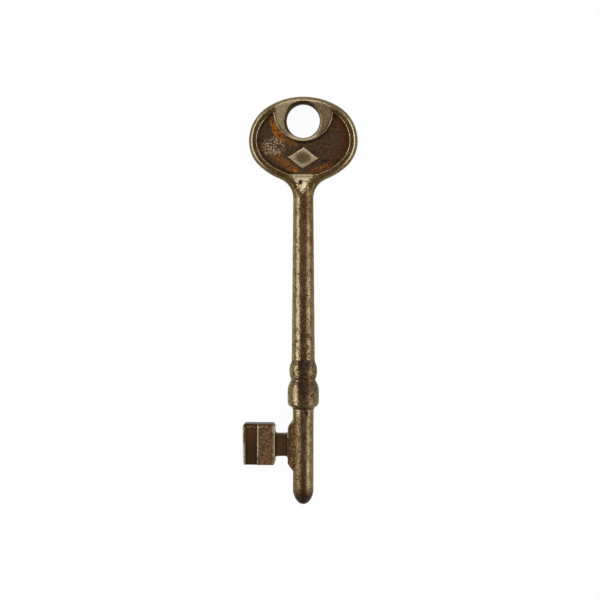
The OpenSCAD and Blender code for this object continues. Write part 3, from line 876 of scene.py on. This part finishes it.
# %% The bit
def bit_zones(s, mottle, cloud, grain):
    form = bit_forms(s)
    panel = form.panel
    channel = form.channel
    web = form.web
    rod = form.rod
    patches = s.noise(0.9, 5.0, 0.7)
    # The tan where the lug runs into the rod is partly crust and partly a painted highlight.
    fade = s.x.step(-3.1, -2.4) * s.x.step(-1.0, -1.5)
    tan = 0.55 * fade * (0.6 + 0.4 * cloud.step(0.4, 0.55))
    crust = panel * cloud.step(0.36, 0.58) * 0.8
    crust = crust + channel * (0.55 * s.y.step(5.5, 10.5) + 0.15) * cloud.step(0.35, 0.55)
    crust = crust + 0.5 * web * patches.step(0.45, 0.58)
    crust = crust + 0.6 * form.lip * patches.step(0.42, 0.58)

    glint = form.top * cloud.step(0.48, 0.54)
    glint = glint.most(form.ridge * s.y.step(4.0, 7.0) * grain.step(0.3, 0.5))
    glint = glint.most(form.land * s.y.step(8.5, 6.5) * grain.step(0.35, 0.55))
    glint = glint.most(form.lug_edge)
    glint = glint.most(form.lip * (0.4 + 0.6 * s.y.step(9.5, 10.2)) * grain.step(0.36, 0.5))
    shine = 0.35 * form.land * s.y.step(8.0, 4.0) - 0.2 * form.land - 0.95 * channel
    shine = shine - 0.5 * panel - 0.8 * form.outline - 0.1 * form.lip - 0.8 * web
    shine = shine - 0.5 * form.lug * (1 - rod) - 0.2 * rod + 0.7 * glint
    return {
        "shine": shine,
        "satin": 0.8 * glint,
        "dark": 0.7 * form.outline,
        "coarse": 0.5 * panel + 0.4 * channel + 0.4 * web + 0.5 * rod,
        "metal": 0.3 + 0.3 * rod,
        "patina": bit_patina(s, form, mottle, cloud, patches),
        "crust": (crust.least(1.0) * (1 - rod) * (1 - glint)).most(tan * (1 - glint)),
        "crust_color": bit_crust_color(s, form, cloud, grain, patches, fade),
    }


# %% [markdown]
# ## Dressing the pieces
# Each piece gets its own material, and the two collars share one. The number after the name
# says how far the piece is rubbed bright: the stem and the collars most, the bit least.

# %% Dress the pieces
def dress(obj, material):
    obj.data.materials.clear()
    obj.data.materials.append(material)


dress(bow, old_iron("bow_iron", 0.45, bow_zones))
dress(stem, old_iron("stem_iron", 0.5, stem_zones))
collar_iron = old_iron("collar_iron", 0.5, collar_zones)
dress(upper_collar, collar_iron)
dress(lower_collar, collar_iron)
dress(bit, old_iron("bit_iron", 0.4, bit_zones))
print("materials:", [material.name for material in bpy.data.materials])

# %% [markdown]
# ## The table
# Laid on its back the key touches the table with the lower collar and with the bow's rim,
# so the table leans a degree and a half against the key's axis. It is white to the camera and
# in reflections, nearly all of that by its own light so that the key's shadow stays soft, and
# it can be seen through from below.

# %% The table's plane
rest_up = Vector((0, -0.0272, 0.9996)).normalized()
rest_at = Vector((0, 0.0182, -0.00323))
floor_mesh = bpy.data.meshes.new("floor")
bm = bmesh.new()
bmesh.ops.create_grid(bm, x_segments=1, y_segments=1, size=2.0)
lean = Vector((0, 0, 1)).rotation_difference(rest_up).to_matrix()
bmesh.ops.rotate(bm, verts=bm.verts, cent=(0, 0, 0), matrix=lean)
bmesh.ops.translate(bm, verts=bm.verts, vec=rest_at)
bm.to_mesh(floor_mesh)
bm.free()
floor = bpy.data.objects.new("floor", floor_mesh)
bpy.context.scene.collection.objects.link(floor)
floor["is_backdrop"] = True
print("table leans", round(math.degrees(math.acos(rest_up.z)), 2), "degrees")

# %% The table's white
OWN_LIGHT = 0.96

s = Shader("floor_white")
s.feed(s.surface.inputs["Base Color"], (0.9, 0.9, 0.9, 1))
s.feed(s.surface.inputs["Roughness"], 0.9)
s.feed(s.surface.inputs["Specular IOR Level"], 0.0)
camera_ray = s.node("ShaderNodeLightPath", out="Is Camera Ray")
glossy_ray = s.node("ShaderNodeLightPath", out="Is Glossy Ray")
through_ray = s.node("ShaderNodeLightPath", out="Is Transmission Ray")
glow_share = camera_ray.most(glossy_ray).most(through_ray) * OWN_LIGHT
glow = s.node("ShaderNodeEmission", inputs={"Color": (1, 1, 1, 1), "Strength": 1.0})
painted = Val(s, s.surface.outputs[0])
lit = s.node("ShaderNodeMixShader", inputs={0: glow_share, 1: painted, 2: glow})
clear = s.node("ShaderNodeBsdfTransparent")
below = s.node("ShaderNodeNewGeometry", out="Backfacing")
both = s.node("ShaderNodeMixShader", inputs={0: below, 1: lit, 2: clear})
s.feed(s.tree.nodes["Material Output"].inputs["Surface"], both)
dress(floor, s.material)
print("floor:", len(s.tree.nodes), "nodes")

# %% [markdown]
# ## The camera
# The key is seen from straight above, near enough: a fit of the bow's outline and of the walls
# inside the eye gives a camera 28 cm away, which stands 2 degrees to the right of straight
# above and 3.8 degrees towards the bow.

# %% Camera
DISTANCE = 0.28
to_right = math.radians(2.0)
to_bow = math.radians(3.8)
aim = Vector((-0.000658, 0.0367, 0))
back = Vector((math.sin(to_right), math.sin(to_bow), math.cos(to_right))).normalized()
camera = bpy.data.objects.new("camera", bpy.data.cameras.new("camera"))
bpy.context.scene.collection.objects.link(camera)
camera.data.sensor_width = 36
camera.data.angle = math.radians(24.42)
camera.data.clip_start = 0.01
camera.location = aim + back * DISTANCE
right = Vector((0, 1, 0)).cross(back).normalized()
up = back.cross(right).normalized()
camera.matrix_world = Matrix((
    (right.x, up.x, back.x, camera.location.x),
    (right.y, up.y, back.y, camera.location.y),
    (right.z, up.z, back.z, camera.location.z),
    (0, 0, 0, 1),
))
bpy.context.scene.camera = camera
print("camera at", [round(part, 4) for part in camera.location])

# %% [markdown]
# ## The light
# The shank is a mirror for the room: two bright stripes with a dark one between them. So a
# tall softbox stands on each side of the camera, 59 degrees off, with nothing but the dim
# room above, and a wide one 30 degrees off at the bow's end lights the facet and the slopes
# that face it. `strength` is how bright the face of a softbox looks, whatever its size.

# %% Softboxes and room
SOFTBOX_DISTANCE = 1.0
SOFTBOX_WHITE = (0.97, 1.0, 1.08)
ROOM = (0.18, 0.135, 0.1, 1)


def softbox(name, across, along, width, height, strength):
    sideways = right * math.tan(math.radians(across))
    lengthways = up * math.tan(math.radians(along))
    way = (back + sideways + lengthways).normalized()
    data = bpy.data.lights.new(name, "AREA")
    data.shape = "RECTANGLE"
    data.size = width
    data.size_y = height
    data.energy = strength * width * height * math.pi
    data.color = SOFTBOX_WHITE
    box = bpy.data.objects.new(name, data)
    bpy.context.scene.collection.objects.link(box)
    level_side = up.cross(way).normalized()
    turn = Matrix((level_side, way.cross(level_side), way)).transposed().to_4x4()
    box.matrix_world = Matrix.Translation(aim + way * SOFTBOX_DISTANCE) @ turn
    box.visible_camera = False
    print(f"{name}: {width} x {height} m, {data.energy:.2f} W")


softbox("left_softbox", -59, 0, 0.66, 1.6, 3.2)
softbox("right_softbox", 59, 0, 0.66, 1.6, 3.0)
softbox("bow_side_softbox", 0, 30, 0.7, 0.42, 2.8)

world = bpy.data.worlds.new("room")
bpy.context.scene.world = world
world.use_nodes = True
world.node_tree.nodes["Background"].inputs["Color"].default_value = ROOM
bpy.context.scene.view_settings.view_transform = "Standard"

# %% [markdown]
# ## The size before and after
# Dressing the key must not make it larger. The bounds before and after are printed, so
# that they can be set side by side: the skins lie inside the solids by up to a few hundredths
# of a millimetre.

# %% Bounds and the end
bounds_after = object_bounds()
for name, bounds in (("before", bounds_before), ("after", bounds_after)):
    print(name, "in mm:", [[round(MM * part, 2) for part in corner] for corner in bounds])
